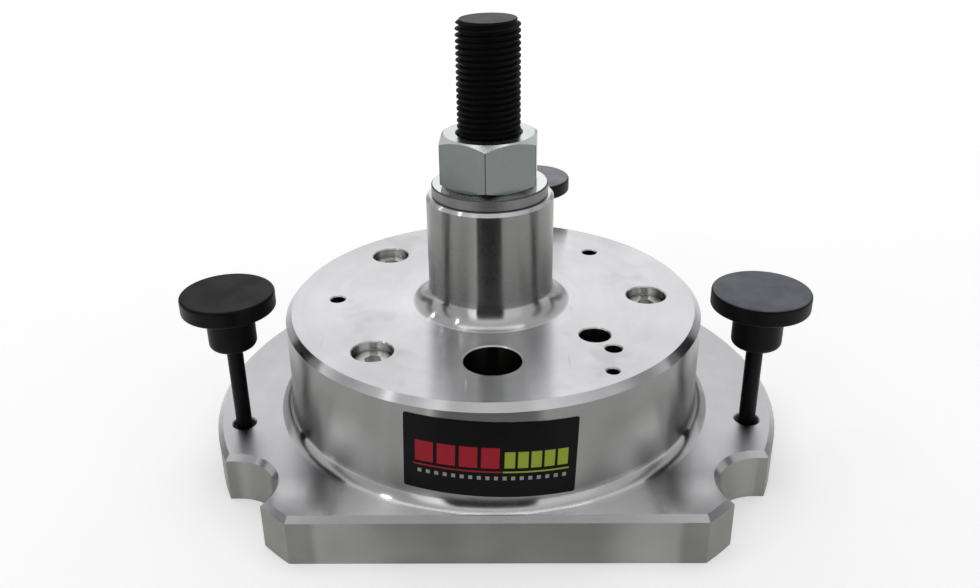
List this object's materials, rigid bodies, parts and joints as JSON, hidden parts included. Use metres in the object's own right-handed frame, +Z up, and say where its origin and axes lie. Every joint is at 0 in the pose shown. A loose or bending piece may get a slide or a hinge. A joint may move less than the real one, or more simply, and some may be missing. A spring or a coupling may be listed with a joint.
{
  "type": "crankshaft seal puller",
  "caption": "Turned steel bell on a notched plate, with a threaded drawing spindle and nut, a hidden draw disc and knob screws round the rim.",
  "frame": {"origin": "spindle axis at the underside of the plate, the plane that the tool stands on", "axes": "+Z up along the spindle; the straight front edge of the plate faces -Y; +X to the right of a person facing that edge"},
  "size_m": [0.1582, 0.1385, 0.1156],
  "materials": {
    "bell_steel": "bright turned, fine turning marks",
    "ground_steel": "ground, lightly oiled",
    "screw_steel": "bright zinc",
    "zinc_steel": "bright zinc, slightly dull",
    "black_steel": "black oxide, oiled",
    "knob_steel": "smooth black oxide",
    "ring_rubber": "matt",
    "label_film": "printed film"
  },
  "bodies": {
    "housing": {"bell_housing": "bell_steel", "stop_ring": "ground_steel", "ring_screw_right": "screw_steel", "ring_screw_rear": "screw_steel", "ring_screw_front": "screw_steel", "dowel_pin_left": "ground_steel", "dowel_pin_rear": "ground_steel", "dowel_pin_front": "ground_steel", "locating_pin": "ground_steel", "thrust_washer": "zinc_steel", "data_label": "label_film"},
    "nut": {"hex_nut": "zinc_steel"},
    "spindle": {"spindle": "black_steel", "draw_disc": "ground_steel", "disc_cross_pin": "ground_steel"},
    "front_bolt": {"crank_bolt_front": "black_steel"},
    "rear_bolt": {"crank_bolt_rear": "black_steel"},
    "left_ring": {"drag_ring_left": "ring_rubber"},
    "left_screw": {"knob_screw_left": "knob_steel"},
    "right_ring": {"drag_ring_right": "ring_rubber"},
    "right_screw": {"knob_screw_right": "knob_steel"},
    "rear_ring": {"drag_ring_rear": "ring_rubber"},
    "rear_screw": {"knob_screw_rear": "knob_steel"}
  },
  "joints": [
    {"name": "nut_turn", "type": "hinge", "parent": "housing", "child": "nut", "pos_m": [0, 0, 0.0746], "axis": [0, 0, 1], "range_deg": [-721, 5761]},
    {"name": "spindle_slide", "type": "slide", "parent": "housing", "child": "spindle", "axis": [0, 0, 1], "range_m": [-0.024, 0.003]},
    {"name": "front_bolt_turn", "type": "hinge", "parent": "spindle", "child": "front_bolt", "pos_m": [0, -0.0346, 0.01652], "axis": [0, 0, 1], "continuous": true},
    {"name": "rear_bolt_turn", "type": "hinge", "parent": "spindle", "child": "rear_bolt", "pos_m": [0, 0.0346, 0.01652], "axis": [0, 0, 1], "continuous": true},
    {"name": "left_screw_slide", "type": "slide", "parent": "housing", "child": "left_ring", "axis": [0, 0, 1], "range_m": [-0.024, 0.008]},
    {"name": "left_screw_turn", "type": "hinge", "parent": "left_ring", "child": "left_screw", "pos_m": [-0.06703, -0.01758, 0.0372], "axis": [0, 0, 1], "continuous": true},
    {"name": "right_screw_slide", "type": "slide", "parent": "housing", "child": "right_ring", "axis": [0, 0, 1], "range_m": [-0.0225, 0.008]},
    {"name": "right_screw_turn", "type": "hinge", "parent": "right_ring", "child": "right_screw", "pos_m": [0.06703, -0.01758, 0.0357], "axis": [0, 0, 1], "continuous": true},
    {"name": "rear_screw_slide", "type": "slide", "parent": "housing", "child": "rear_ring", "axis": [0, 0, 1], "range_m": [-0.0239, 0.008]},
    {"name": "rear_screw_turn", "type": "hinge", "parent": "rear_ring", "child": "rear_screw", "pos_m": [0.01429, 0.06781, 0.0371], "axis": [0, 0, 1], "continuous": true}
  ],
  "couplings": [
    {"joint": "nut_turn", "follows": "spindle_slide", "rad_per_m": -4188.8}
  ]
}
